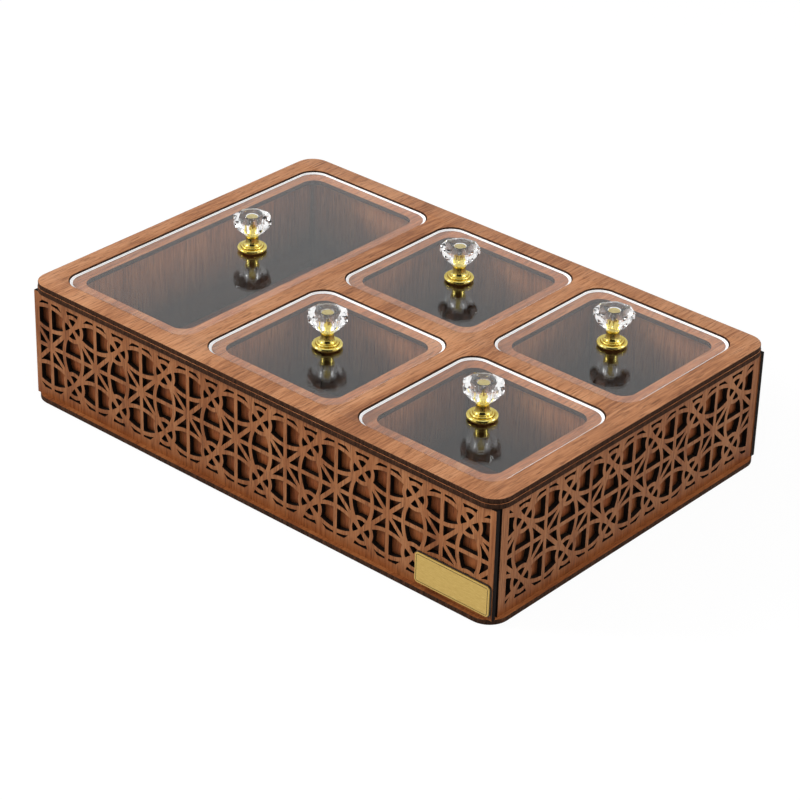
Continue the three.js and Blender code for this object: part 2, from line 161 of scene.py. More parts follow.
room = bpy.data.worlds.new("white_room")
bpy.context.scene.world = room
room.use_nodes = True
tree = room.node_tree
tree.nodes.clear()
strength = levels(tree, seen_directly(tree), ROOM_LIGHT, 1.0)
glow = add_node(tree, "ShaderNodeBackground", {"Color": (1, 1, 1, 1), "Strength": strength})
add_node(tree, "ShaderNodeOutputWorld", {"Surface": glow.outputs[0]})
bpy.context.scene.view_settings.view_transform = "Standard"
print("room light:", ROOM_LIGHT)

# %% The pale floor
FLOOR_SIZE = 12  # metres, as for the lamps and the cards
FLOOR_DROP = 0.2  # millimetres, so that floor and base don't share one height
FLOOR_COLOUR = 0.1
FLOOR_GLOW = 0.92

floor_look = bpy.data.materials.new("pale_floor")
floor_look.use_nodes = True
tree = floor_look.node_tree
tree.nodes.clear()
strength = arithmetic(tree, "MULTIPLY", seen_directly(tree), FLOOR_GLOW)
paper = add_node(tree, "ShaderNodeBsdfDiffuse", {"Color": (FLOOR_COLOUR, FLOOR_COLOUR, FLOOR_COLOUR, 1)})
glow = add_node(tree, "ShaderNodeEmission", {"Strength": strength})
both = add_node(tree, "ShaderNodeAddShader", {0: paper.outputs[0], 1: glow.outputs[0]})
add_node(tree, "ShaderNodeOutputMaterial", {"Surface": both.outputs[0]})


def flat_sheet(name, width, height, look):
    """A rectangle round the origin of an object of its own, in metres."""
    side, end = width / 2, height / 2
    corners = [(-side, -end, 0), (side, -end, 0), (side, end, 0), (-side, end, 0)]
    mesh = bpy.data.meshes.new(name)
    mesh.from_pydata(corners, [], [(0, 1, 2, 3)])
    mesh.materials.append(look)
    return bpy.data.objects.new(name, mesh)


floor = flat_sheet("floor", FLOOR_SIZE, FLOOR_SIZE, floor_look)
floor.location.z = -FLOOR_DROP * MM
bpy.context.collection.objects.link(floor)
print("floor:", FLOOR_SIZE, "m across")

# %% The soft lamps
shining_pieces = bpy.data.collections.new("shining_pieces")


def soft_lamp(name, size, power, direction, distance, for_knobs=False):
    """A square lamp that looks at the box from a direction. Its size and distance are in metres."""
    data = bpy.data.lights.new(name, "AREA")
    data.size = size
    data.energy = power
    lamp = bpy.data.objects.new(name, data)
    lamp.location = Vector(direction).normalized() * distance
    lamp.rotation_euler = Vector(direction).to_track_quat("Z", "Y").to_euler()
    lamp.visible_camera = False
    lamp.visible_glossy = for_knobs
    lamp.visible_transmission = for_knobs
    if for_knobs:
        lamp.light_linking.receiver_collection = shining_pieces
    bpy.context.collection.objects.link(lamp)
    print(name, "at", [round(v, 2) for v in lamp.location])


soft_lamp("overhead_lamp", 1.0, 5.6, (0.35, -0.2, 1), 1.7)
soft_lamp("front_left_lamp", 1.2, 73, (-1, -0.7, 0.62), 3.0)
soft_lamp("front_right_lamp", 0.5, 2.9, (0.7, -0.82, 0.5), 1.2)
soft_lamp("back_right_lamp", 0.75, 12, (0.72, 0.62, 0.42), 2.0)
soft_lamp("left_streak_lamp", 0.7, 14, (-0.72, -0.69, 0.577), 2.4, for_knobs=True)
soft_lamp("right_streak_lamp", 0.7, 14, (0.8, 0.6, 0.577), 2.4, for_knobs=True)

# %% The cards that brass and lids mirror
CARD_DISTANCE = 2.4


def card(name, low, high, width, height, direction, in_crystal):
    """A card, from low to high in brightness, that only shows in metal, in lids and maybe in crystal."""
    look = bpy.data.materials.new(name)
    look.use_nodes = True
    tree = look.node_tree
    tree.nodes.clear()
    weave = add_node(tree, "ShaderNodeTexNoise", {"Scale": 3.0, "Detail": 2.0})
    cloth = add_node(tree, "ShaderNodeEmission", {"Strength": levels(tree, weave.outputs[0], low, high)})
    add_node(tree, "ShaderNodeOutputMaterial", {"Surface": cloth.outputs[0]})
    sheet = flat_sheet(name, width, height, look)
    sheet.location = direction.normalized() * CARD_DISTANCE
    sheet.rotation_euler = direction.to_track_quat("Z", "Y").to_euler()
    sheet.visible_camera = False
    sheet.visible_diffuse = False
    sheet.visible_transmission = in_crystal
    sheet.visible_shadow = False
    bpy.context.collection.objects.link(sheet)
    print(name, "at", [round(v, 2) for v in sheet.location])


opposite = Vector((-camera_place.x, -camera_place.y, camera_place.z))
card("dark_card", 0.01, 0.06, 3.8, 2.7, camera_place, in_crystal=False)
card("grey_card", 0.66, 0.76, 3.0, 2.2, opposite, in_crystal=True)

# %% [markdown]
# ## Walnut veneer
#
# Walnut shows three things at once: broad soft bands, fine streaks along the grain, and short dark
# pores. Each one is a noise that is stretched along the grain, and the three are laid over each
# other. An image would be quicker, but noise has no seam and follows any cut, and it is laid out in
# each piece's own coordinates.
# Light and shade are painted into the veneer as well. Ambient occlusion paints shade in the openings
# and along the base, the sides and the compartments are painted darker towards their foot and floor,
# the walls behind the openings darker and redder, the ledge board lighter and the base darker.

# %% Make a walnut finish
def stretched_noise(tree, grain, width, length, detail, rough, wander):
    """Noise with blotches so wide and so long, in mm, along the axis of the grain."""
    coordinates = add_node(tree, "ShaderNodeTexCoord", {})
    scale = [1 / (width * MM)] * 3
    scale[grain] = 1 / (length * MM)
    stretched = add_node(tree, "ShaderNodeMapping", {
        "Vector": coordinates.outputs["Object"], "Scale": scale,
    })
    noise = add_node(tree, "ShaderNodeTexNoise", {
        "Vector": stretched.outputs[0], "Scale": 1.0, "Detail": detail, "Roughness": rough,
        "Distortion": wander,
    })
    return noise.outputs[0]


def ramp(tree, value, stops):
    """A colour for each level of a value."""
    node = add_node(tree, "ShaderNodeValToRGB", {"Fac": value})
    bands = node.color_ramp.elements
    while len(bands) < len(stops):
        bands.new(0.5)
    for band, (position, shade) in zip(bands, stops):
        band.position = position
        band.color = shade
    return node.outputs["Color"]


def grey(level):
    return (level, level, level, 1)


def mixed(tree, share, first, second, way="MIX"):
    """Two colours mixed in a share, which may come from another node."""
    node = tree.nodes.new("ShaderNodeMix")
    node.data_type = "RGBA"
    node.blend_type = way
    for socket, value in ((node.inputs[0], share), (node.inputs[6], first), (node.inputs[7], second)):
        if isinstance(value, bpy.types.NodeSocket):
            tree.links.new(value, socket)
        else:
            socket.default_value = value
    return node.outputs[2]


def new_look(name):
    look = bpy.data.materials.new(name)
    look.use_nodes = True
    look.node_tree.nodes.clear()
    return look


def shown(look, shader):
    add_node(look.node_tree, "ShaderNodeOutputMaterial", {"Surface": shader.outputs[0]})
    print("finish:", look.name)
    return look


# The colour of the painted shade that ambient occlusion lays on the wood.
OCCLUSION_SHADE_COLOUR = colour("150d08")


def occlusion_shaded(tree, wood, reach, stops):
    """Painted shade, by ambient occlusion, wherever something stands within reach, as in a corner or an
    opening.
    """
    free = add_node(tree, "ShaderNodeAmbientOcclusion", {"Distance": reach * MM}, samples=8).outputs["AO"]
    unshaded_share = ramp(tree, free, [(open_share, grey(level)) for open_share, level in stops])
    return mixed(tree, unshaded_share, OCCLUSION_SHADE_COLOUR, wood)


def painted_shade_below(tree, wood, low, high, tint):
    """Wood with a painted shade: a tint that grows from one height down to another."""
    here = add_node(tree, "ShaderNodeNewGeometry", {}).outputs["Position"]
    height = add_node(tree, "ShaderNodeSeparateXYZ", {0: here}).outputs[2]
    share = add_node(tree, "ShaderNodeMapRange", {
        "Value": height, "From Min": low * MM, "From Max": high * MM, "To Min": 1.0, "To Max": 0.0,
    }).outputs[0]
    return mixed(tree, share, wood, (*tint, 1), "MULTIPLY")


def only_inside(tree, wood, deep_wood, half_length, half_width):
    """One wood for what faces outwards and another for what faces the compartments."""
    here = add_node(tree, "ShaderNodeNewGeometry", {}).outputs["Position"]
    axes = add_node(tree, "ShaderNodeSeparateXYZ", {0: here}).outputs
    along = arithmetic(tree, "LESS_THAN", arithmetic(tree, "ABSOLUTE", axes[0]), half_length * MM)
    across = arithmetic(tree, "LESS_THAN", arithmetic(tree, "ABSOLUTE", axes[1]), half_width * MM)
    return mixed(tree, arithmetic(tree, "MULTIPLY", along, across), wood, deep_wood)


# Width and length of the blotches in mm, then the detail, roughness and wander of their noise
BANDS = (30, 210, 3, 0.55, 0.9)
STREAKS = (1.7, 30, 7, 0.76, 0.25)
PORES = (0.6, 8, 2, 0.5, 0)
BAND_SHARE = 0.42
STREAK_SHARE = 0.58
WOOD_STOPS = (0.39, 0.49, 0.59)
PORE_STOPS = [(0.54, grey(0)), (0.67, grey(0.65))]
SATIN = (0.62, 0.42)
WOOD_SHINE = 0.2


def walnut(name, grain, wood_codes, pore, soot_and_shade=(), shades_below=(), inside=()):
    """Walnut veneer whose grain runs along axis 0, 1 or 2, with a dark, a middle and a pale brown."""
    look = new_look(name)
    tree = look.node_tree
    bands = stretched_noise(tree, grain, *BANDS)
    streaks = stretched_noise(tree, grain, *STREAKS)
    pores = stretched_noise(tree, grain, *PORES)
    level = arithmetic(tree, "MULTIPLY_ADD", streaks, STREAK_SHARE,
                       arithmetic(tree, "MULTIPLY", bands, BAND_SHARE))
    wood = ramp(tree, level, [(stop, colour(code)) for stop, code in zip(WOOD_STOPS, wood_codes)])
    specks = ramp(tree, pores, PORE_STOPS)
    wood = mixed(tree, specks, wood, colour(pore))
    # Painted shade from ambient occlusion, in openings, corners and along the base.
    for reach, stops in soot_and_shade:
        wood = occlusion_shaded(tree, wood, reach, stops)
    # Painted shade that darkens the wood towards its foot.
    for low, high, tint in shades_below:
        wood = painted_shade_below(tree, wood, low, high, tint)
    if inside:
        # Painted shade: the outer faces of the walls, seen only through the openings, are made darker and
        # redder.
        shaded_outside = mixed(tree, 1.0, wood, BEHIND_OPENINGS_SHADE, "MULTIPLY")
        wood = only_inside(tree, shaded_outside, painted_shade_below(tree, wood, *DEEP_PAINTED_SHADE), *inside)
    relief = arithmetic(tree, "SUBTRACT", streaks, specks)
    bump = add_node(tree, "ShaderNodeBump", {"Strength": 0.3, "Distance": 0.1 * MM, "Height": relief})
    shader = add_node(tree, "ShaderNodeBsdfPrincipled", {
        "Base Color": wood, "Roughness": levels(tree, level, *SATIN), "Normal": bump.outputs[0],
        "Specular IOR Level": WOOD_SHINE,
    })
    return shown(look, shader)


print("streaks in mm, wide and long:", STREAKS[:2])

# %% Mix the five veneers
# Painted occlusion shade is a reach in mm with pairs of how open a spot is and how light it stays.
# A painted shade below is the height in mm where it is full, the height where it ends, and its tint.
ALONG_Y = 1
ALONG_Z = 2
OPENING_OCCLUSION_SHADE = (8, ((0.32, 0.04), (0.55, 0.4), (0.9, 1)))
BASE_OCCLUSION_SHADE = (30, ((0.1, 0.05), (0.35, 1)))
# Painted shade: the sides darker towards their foot and, gently, over their height; the compartments
# towards their floor.
FOOT_PAINTED_SHADE = (5, 13, (0.75, 0.6, 0.44))
WALL_PAINTED_SHADE = (5, 68, (0.82, 0.8, 0.78))
DEEP_PAINTED_SHADE = (20, 56, (0.1, 0.1, 0.1))
# Painted shade for the walls behind the openings, darker and redder.
BEHIND_OPENINGS_SHADE = (0.86, 0.62, 0.48, 1)
wall_low, wall_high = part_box("wall_front")
half_length = (wall_high.x - wall_low.x) / 2 / MM
half_width = -(wall_low.y + wall_high.y) / 2 / MM
print("walls, half of their length and width in mm:", round(half_length, 1), round(half_width, 1))
top_walnut = walnut("top_walnut", ALONG_Y, ("885639", "b37951", "c99067"), "623b26")
# The ledge board's veneer is a lighter copy of the top's: painted light for what the lids hold back.
ledge_walnut_painted_light = walnut("ledge_walnut_painted_light", ALONG_Y, ("9e623e", "cd8151", "e09c6b"), "7c4b2f")
side_walnut = walnut("side_walnut", ALONG_Z, ("844e2e", "a76b43", "b97e54"), "673d24",
                     shades_below=(FOOT_PAINTED_SHADE, WALL_PAINTED_SHADE))
# The base's veneer is a darker, redder copy of the top's: painted shade under the sides above it.
base_walnut_painted_shade = walnut("base_walnut_painted_shade", ALONG_Y, ("6f3c20", "864c27", "975c33"), "532c16",
                     soot_and_shade=(BASE_OCCLUSION_SHADE,))
inner_walnut = walnut("inner_walnut", ALONG_Z, ("8d5632", "b37247", "c78958"), "6c4227",
                      soot_and_shade=(OPENING_OCCLUSION_SHADE,), inside=(half_length, half_width))

# %% [markdown]
# ## The burnt edge
#
# A laser leaves every cut edge of the wood black-brown, with faint upright lines from its pulses.
# This dark edge draws the whole pattern, so it gets a finish of its own, which the boards below
# put on all the faces that the laser has cut. In the narrow openings of the sides the edge chars
# darker than round the outline of a board.

# %% Make the burnt edge
def burnt(name, black, dark, brown):
    look = new_look(name)
    tree = look.node_tree
    soot_and_shade = stretched_noise(tree, ALONG_Z, 1.2, 6, 4, 0.6, 0)
    shade = ramp(tree, soot_and_shade, [(0.35, colour(black)), (0.6, colour(dark)), (0.75, colour(brown))])
    bump = add_node(tree, "ShaderNodeBump", {"Strength": 0.4, "Distance": 0.1 * MM, "Height": soot_and_shade})
    shader = add_node(tree, "ShaderNodeBsdfPrincipled", {
        "Base Color": shade, "Roughness": 0.8, "Normal": bump.outputs[0], "Specular IOR Level": 0.1,
    })
    return shown(look, shader)


burnt_edge = burnt("burnt_edge", "291b14", "472f22", "63402f")
charred_edge = burnt("charred_edge", "0d0a09", "1a1411", "2f2119")

# %% [markdown]
# ## Boards cut from a drawing
#
# A laser follows a flat drawing, and a Blender curve can do the same: one closed line for the
# outline and one for each opening, filled and extruded to the thickness of the board. The curve
# is then turned into a mesh, because a mesh can carry one finish on its faces and another on its
# cut edges. This keeps every rounded corner smooth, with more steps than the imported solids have.

# %% Cut a board
CORNER_STEPS = 12


def rounded(x, y, length, width, radius, steps=CORNER_STEPS):
    """The corners of a rounded rectangle round (x, y), anticlockwise."""
    points = []
    for quarter, (right, up) in enumerate(((1, 1), (-1, 1), (-1, -1), (1, -1))):
        middle = Vector((x + right * (length / 2 - radius), y + up * (width / 2 - radius)))
        for step in range(steps + 1):
            angle = (quarter + step / steps) * math.pi / 2
            points.append(middle + radius * Vector((math.cos(angle), math.sin(angle))))
    return points


def drawing_to_mesh(name, outline, openings, thickness):
    """A flat board from z = 0 up, in a bmesh."""
    curve = bpy.data.curves.new(name, "CURVE")
    curve.dimensions = "2D"
    curve.fill_mode = "BOTH"
    curve.extrude = thickness / 2 * MM
    for points in (outline, *openings):
        line = curve.splines.new("POLY")
        line.points.add(len(points) - 1)
        line.use_cyclic_u = True
        for corner, (x, y) in zip(line.points, points):
            corner.co = (x * MM, y * MM, 0, 1)
    drawing = bpy.data.objects.new(name, curve)
    bpy.context.collection.objects.link(drawing)
    flat = drawing.evaluated_get(bpy.context.evaluated_depsgraph_get()).to_mesh()
    board = bmesh.new()
    board.from_mesh(flat)
    bpy.data.objects.remove(drawing)
    bpy.data.curves.remove(curve)
    bmesh.ops.remove_doubles(board, verts=board.verts, dist=0.001 * MM)
    bmesh.ops.recalc_face_normals(board, faces=board.faces)
    bmesh.ops.translate(board, verts=board.verts, vec=(0, 0, thickness / 2 * MM))
    return board


def soften(board, width):
    """Rounds off the sharp rims of a flat board a little, as handling and sanding do."""
    rims = [edge for edge in board.edges
            if len(edge.link_faces) == 2 and edge.calc_face_angle() > math.radians(60)
            and abs(edge.verts[0].co.z - edge.verts[1].co.z) < 0.01 * MM]
    bmesh.ops.bevel(board, geom=rims, offset=width * MM, segments=2, profile=0.5, affect="EDGES")


def paint_by_face(board):
    """Slot 0 for the two faces of the board, slot 1 for its cut edges."""
    for face in board.faces:
        face.material_index = 0 if abs(face.normal.z) > 0.95 else 1


def make_piece(name, solid, looks, body, nodes, matrix=Matrix(), sharp_from=28):
    """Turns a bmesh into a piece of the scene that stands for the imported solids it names."""
    solid.transform(matrix)
    mesh = bpy.data.meshes.new(name)
    solid.to_mesh(mesh)
    solid.free()
    for look in looks:
        mesh.materials.append(look)
    mesh.polygons.foreach_set("use_smooth", [True] * len(mesh.polygons))
    mesh.set_sharp_from_angle(angle=math.radians(sharp_from))
    piece = bpy.data.objects.new(name, mesh)
    bpy.context.collection.objects.link(piece)
    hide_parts(*nodes)
    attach(piece, body)
    print("made", name, "with", len(mesh.polygons), "faces")
    return piece


print("steps to a rounded corner:", CORNER_STEPS)

# %% [markdown]
# ## Base, ledge board and top board
#
# Three boards lie flat. The base closes the box below. The ledge board reaches in under each lid
# and carries it, and the top board goes round the lids. From the side the two upper boards show as
# two burnt lines with a thread of brown between them, because the ledge board is a little larger.

# %% The windows of the top
BOARD = 3
WINDOW_SIDE = 103.5
WINDOW_BAR = 12
WINDOW_STEP = WINDOW_SIDE + WINDOW_BAR
LONG_WINDOW = 2 * WINDOW_STEP - WINDOW_BAR
RIM = 12.75
WINDOW_RADIUS = 12.5
TOP_LENGTH = 3 * WINDOW_STEP - WINDOW_BAR + 2 * RIM
TOP_WIDTH = LONG_WINDOW + 2 * RIM
TOP_RADIUS = 12

WINDOWS = [("long", -WINDOW_STEP, 0, LONG_WINDOW)]
for column, column_name in enumerate(("middle", "end")):
    for row, row_name in enumerate(("front", "back")):
        middle = (column * WINDOW_STEP, (row - 0.5) * WINDOW_STEP)
        WINDOWS.append((f"{column_name}_{row_name}", *middle, WINDOW_SIDE))
print("windows:", [window[0] for window in WINDOWS])

# %% Lay the three flat boards
RIM_SOFTNESS = 0.18


def starts_at(name):
    """The height, in metres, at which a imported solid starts."""
    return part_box(name)[0].z


def flat_board(name, veneer, margin, inset, radius, with_windows=True):
    """A board as large as the top and a margin, at the height of the solid that it stands for."""
    outline = rounded(0, 0, TOP_LENGTH + 2 * margin, TOP_WIDTH + 2 * margin, TOP_RADIUS + margin)
    windows = [rounded(x, y, WINDOW_SIDE - 2 * inset, width - 2 * inset, radius)
               for _, x, y, width in WINDOWS]
    board = drawing_to_mesh(name, outline, windows if with_windows else [], BOARD)
    soften(board, RIM_SOFTNESS)
    board.normal_update()
    paint_by_face(board)
    return make_piece(f"{name}_veneered", board, [veneer, burnt_edge], "box", [name],
                      Matrix.Translation((0, 0, starts_at(name))))


BASE_MARGIN = 1
LEDGE_MARGIN = 0.3
LEDGE_WIDTH = 8.5
LEDGE_RADIUS = 9
flat_board("base_board", base_walnut_painted_shade, BASE_MARGIN, 0, WINDOW_RADIUS, with_windows=False)
flat_board("ledge_board", ledge_walnut_painted_light, LEDGE_MARGIN, LEDGE_WIDTH, LEDGE_RADIUS)
flat_board("top_board", top_walnut, 0, 0, WINDOW_RADIUS)

# %% [markdown]
# ## The pierced sides
#
# The pattern is a girih-like field of stars. Straight lines run through each star in eight
# directions, a circle goes round it, and a small ring sits where the circles of four stars meet.
# What the laser takes away are the openings between those lines: small triangles at the stars,
# petals round the rings and small triangles inside them. The openings of one star are drawn once
# and repeated, and those that run past the border of the panel are clipped straight.

# %% Arcs and crossings of the pattern
STAR_PITCH = 38.3
STRAP = 2.6
RING_RADIUS = 7.8
HALF_STRAP = STRAP / 2
RING_PLACE = STAR_PITCH / 2
CIRCLE_RADIUS = STAR_PITCH / math.sqrt(2)


def circles_meet(a, radius_a, b, radius_b):
    """Where two circles cross, on the left of the way from the first middle to the second."""
    way = b - a
    along = (way.length ** 2 + radius_a ** 2 - radius_b ** 2) / (2 * way.length)
    off = math.sqrt(radius_a ** 2 - along ** 2)
    way = way.normalized()
    return a + way * along + Vector((-way.y, way.x)) * off


def arc(middle, start, end, steps):
    """Points along a circle from start towards end, with the first and without the last."""
    arm = start - middle
    turn = (start - middle).angle_signed(end - middle)
    return [middle + Matrix.Rotation(-turn * step / steps, 2) @ arm for step in range(steps)]


def quarter_turns(points, middle):
    """The same opening four times round a middle."""
    return [[middle + Matrix.Rotation(quarter * math.pi / 2, 2) @ (point - middle) for point in points]
            for quarter in range(4)]


print("circle round each star:", round(CIRCLE_RADIUS, 2), "mm")

# %% The openings round a star and round a ring
ARC_STEPS = 8


def star_openings():
    """A triangle on each side of each level and upright line through a star."""
    next_star = Vector((STAR_PITCH, 0))
    outer = CIRCLE_RADIUS + HALF_STRAP
    slant = STRAP / math.sqrt(2)
    on_line = Vector((STAR_PITCH - math.sqrt(outer ** 2 - HALF_STRAP ** 2), HALF_STRAP))
    drop = (STAR_PITCH - slant) / 2
    reach = math.sqrt(outer ** 2 / 2 - drop ** 2)
    tip = Vector((slant + drop - reach, drop - reach))
    inner = Vector((HALF_STRAP + slant, HALF_STRAP))
    triangle = [inner, *arc(next_star, on_line, tip, ARC_STEPS // 2), tip]
    other = [Vector((point.x, -point.y)) for point in reversed(triangle)]
    star = Vector((0, 0))
    return quarter_turns(triangle, star) + quarter_turns(other, star)


def ring_openings(middle):
    """A petal below a ring and a small triangle inside it, four times round."""
    left = middle + Vector((-RING_PLACE, -RING_PLACE))
    right = middle + Vector((RING_PLACE, -RING_PLACE))
    inner = CIRCLE_RADIUS - HALF_STRAP
    side = math.sqrt(inner ** 2 - HALF_STRAP ** 2)
    foot_left = Vector((right.x - side, left.y + HALF_STRAP))
    foot_right = Vector((left.x + side, left.y + HALF_STRAP))
    shoulder_left = circles_meet(right, inner, middle, RING_RADIUS + HALF_STRAP)
    shoulder_right = circles_meet(middle, RING_RADIUS + HALF_STRAP, left, inner)
    petal = [
        *arc(right, foot_left, shoulder_left, ARC_STEPS),
        *arc(middle, shoulder_left, shoulder_right, ARC_STEPS),
        *arc(left, shoulder_right, foot_right, ARC_STEPS), foot_right,
    ]
    apex = circles_meet(left, inner, right, inner)
    corner_left = circles_meet(right, inner, middle, RING_RADIUS - HALF_STRAP)
    corner_right = circles_meet(middle, RING_RADIUS - HALF_STRAP, left, inner)
    triangle = [
        *arc(right, apex, corner_left, ARC_STEPS // 2),
        *arc(middle, corner_left, corner_right, ARC_STEPS // 2),
        *arc(left, corner_right, apex, ARC_STEPS // 2),
    ]
    return quarter_turns(petal, middle) + quarter_turns(triangle, middle)


one_star = star_openings() + ring_openings(Vector((RING_PLACE, RING_PLACE)))
print("openings for each star:", len(one_star))

# %% Clip the field to a panel
SMALLEST_CUT = 1.2


def clipped(points, axis, limit, side):
    """The part of an opening above (side 1) or below (side -1) a limit on one axis."""
    kept = []
    for point, following in zip(points, points[1:] + points[:1]):
        here = (point[axis] - limit) * side
        there = (following[axis] - limit) * side
        if here >= 0:
            kept.append(point)
        if (here >= 0) != (there >= 0):
            kept.append(point.lerp(following, here / (here - there)))
    return kept


def span(points, axis):
    return max(point[axis] for point in points) - min(point[axis] for point in points)


def panel_openings(start, end, first_star, low, high):
    """Every opening between the borders of a panel."""
    openings = []
    half = (high - low) / 2
    rows = math.ceil(half / STAR_PITCH)
    for column in range(-1, math.ceil((end - start) / STAR_PITCH) + 2):
        for row in range(-rows, rows + 1):
            star = Vector((start + first_star + column * STAR_PITCH, low + half + row * STAR_PITCH))
            for points in one_star:
                rest = [point + star for point in points]
                for axis, limit, side in ((0, end, -1), (0, start, 1), (1, high, -1), (1, low, 1)):
                    rest = clipped(rest, axis, limit, side)
                if len(rest) > 2 and min(span(rest, 0), span(rest, 1)) > SMALLEST_CUT:
                    openings.append(rest)
    return openings


print("narrowest opening in mm:", SMALLEST_CUT)

# %% Stand the four pierced panels up
WALL_HEIGHT = 69
LOW_BORDER = 5.5
HIGH_BORDER = 4.2
LONG_END_BORDER = 4
SHORT_END_BORDER = 5.9
LONG_FIRST_STAR = 9.4
SHORT_FIRST_STAR = 32
FRONT, BACK, RIGHT, LEFT = -math.pi / 2, math.pi / 2, 0, math.pi


def stand_up(name, heading, thickness):
    """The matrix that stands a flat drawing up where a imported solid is, its face towards heading."""
    low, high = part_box(name)
    middle = (low + high) / 2
    back = Vector((math.cos(heading), math.sin(heading), 0)) * -thickness / 2 * MM
    foot = Vector((middle.x, middle.y, low.z)) + back
    return (Matrix.Translation(foot) @ Matrix.Rotation(heading + math.pi / 2, 4, "Z")
            @ Matrix.Rotation(math.pi / 2, 4, "X"))


def pierced_panel(name, heading, end_border, first_star):
    low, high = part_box(name)
    length = max(high.x - low.x, high.y - low.y) / MM
    outline = [Vector(corner) for corner in (
        (-length / 2, 0), (length / 2, 0), (length / 2, WALL_HEIGHT), (-length / 2, WALL_HEIGHT))]
    openings = panel_openings(-length / 2 + end_border, length / 2 - end_border, first_star,
                              LOW_BORDER, WALL_HEIGHT - HIGH_BORDER)
    board = drawing_to_mesh(name, outline, openings, BOARD)
    paint_by_face(board)
    return make_piece(f"{name}_pierced", board, [side_walnut, charred_edge], "box", [name],
                      stand_up(name, heading, BOARD))


pierced_panel("lattice_front", FRONT, LONG_END_BORDER, LONG_FIRST_STAR)
pierced_panel("lattice_back", BACK, LONG_END_BORDER, LONG_FIRST_STAR)
pierced_panel("lattice_right", RIGHT, SHORT_END_BORDER, SHORT_FIRST_STAR)
pierced_panel("lattice_left", LEFT, SHORT_END_BORDER, SHORT_FIRST_STAR)

# %% [markdown]
# ## Walls and dividers
#
# Behind the pierced panels stand plain walls, and dividers part the inside. They are flat boards
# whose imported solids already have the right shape, so they stay and only get the inner veneer.

# %% Veneer the walls and dividers
INNER_BOARDS = (
    "wall_front", "wall_back", "wall_left", "wall_right", "divider_long", "divider_cross", "divider_row",
)

for name in INNER_BOARDS:
    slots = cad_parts[name].material_slots
    for slot in slots:
        slot.material = inner_walnut
    print("veneered", name, "slots:", len(slots))

# %% [markdown]
# ## The clear lids
#
# Each lid is a 2 mm clear sheet. Both its faces mirror the grey card, which lays a haze over the dark
# inside. Its ground edge slopes in a little, so that it is seen from within as a white line on the
# far sides, and it has a faint painted glow, light of its own that no lamp gives. Glass in Cycles
# throws a full shadow, so rays from the lamps are let straight through to the wood below.

# %% Make the clear sheet and its ground edge
def clear(name, tint, refraction, passes):
    """A clear polished material. It lets a share of the light of a lamp through, as its shadow."""
    look = new_look(name)
    tree = look.node_tree
    glass = add_node(tree, "ShaderNodeBsdfPrincipled", {
        "Base Color": tint, "Roughness": 0.0, "IOR": refraction, "Transmission Weight": 1.0,
    })
    through = add_node(tree, "ShaderNodeBsdfTransparent", {"Color": grey(passes)})
    path = add_node(tree, "ShaderNodeLightPath", {})
    shader = add_node(tree, "ShaderNodeMixShader", {
        0: path.outputs["Is Shadow Ray"], 1: glass.outputs[0], 2: through.outputs[0],
    })
    return shown(look, shader)


# A painted glow: the ground edge of each lid gives off light of its own.
EDGE_PAINTED_GLOW = 0.35


def ground_edge(name):
    """The ground edge of the sheet, frosted white, with a faint painted glow of its own."""
    look = new_look(name)
    tree = look.node_tree
    marks = stretched_noise(tree, ALONG_Z, 0.5, 3, 2, 0.5, 0)
    shade = ramp(tree, marks, [(0.3, grey(0.9)), (0.7, grey(1))])
    shader = add_node(tree, "ShaderNodeBsdfPrincipled", {
        "Base Color": shade, "Roughness": 0.5,
        "Emission Color": shade, "Emission Strength": EDGE_PAINTED_GLOW,
    })
    return shown(look, shader)


clear_sheet = clear("clear_sheet", (0.97, 0.98, 0.98, 1), 1.49, 1.0)
sheet_edge = ground_edge("sheet_edge")

# %% Cut the five lids
LID_THICKNESS = 2
LID_CLEARANCE = 0.6
SCREW_HOLE = 2.2
EDGE_SLOPE = 1.2


def circle(radius, steps=32):
    return [Vector((radius * math.cos(a), radius * math.sin(a)))
            for a in (step / steps * 2 * math.pi for step in range(steps))]


def lid_body(window_name):
    return f"{window_name}_lid"


def lid(window_name, x, y, window_width):
    """A sheet that fills a window but for its clearance. Its underside is drawn in by the slope."""
    name = f"lid_{window_name}"
    length = WINDOW_SIDE - 2 * LID_CLEARANCE
    width = window_width - 2 * LID_CLEARANCE
    outline = rounded(0, 0, length, width, WINDOW_RADIUS - LID_CLEARANCE)
    board = drawing_to_mesh(name, outline, [circle(SCREW_HOLE)], LID_THICKNESS)
    for corner in board.verts:
        if corner.co.z < 0.5 * MM and corner.co.length > 2 * SCREW_HOLE * MM:
            corner.co.x *= 1 - 2 * EDGE_SLOPE / length
            corner.co.y *= 1 - 2 * EDGE_SLOPE / width
    board.normal_update()
    paint_by_face(board)
    make_piece(f"{name}_sheet", board, [clear_sheet, sheet_edge], lid_body(window_name),
               [name], Matrix.Translation((x * MM, y * MM, starts_at(name))))


for window in WINDOWS:
    lid(*window)

# %% [markdown]
# ## The crystal knobs
#
# A pressed crystal has eight sides. Its flat table is ringed by sloping facets, a short upright
# girdle comes next, and long facets run down to the stem. Rings of eight corners, each turned by
# half a step against the last, give just that play of triangles when a hull is put round them.
# A bore from below takes the brass stud, which shines up through the facets. Each finished crystal
# joins the pieces that the two streak lamps light.

# %% Make the crystal
CRYSTAL_SIDES = 8
HALF_SIDE_TURN = 180 / CRYSTAL_SIDES
CRYSTAL_TURNS = (6, 0, 14, -4, 9)
# Height and radius of each ring of corners in mm, and its turn in steps from corner to corner
CRYSTAL_RINGS = (
    (0.0, 4.9, 0), (2.6, 8.0, 0.5), (5.0, 10.2, 0), (7.3, 12.0, 0), (9.2, 11.6, 0.5), (11.1, 12.0, 0),
    (12.4, 9.0, 0.5), (13.1, 6.6, 0),
)
BORE_RADIUS = 3.8
BORE_TOP = 9.3

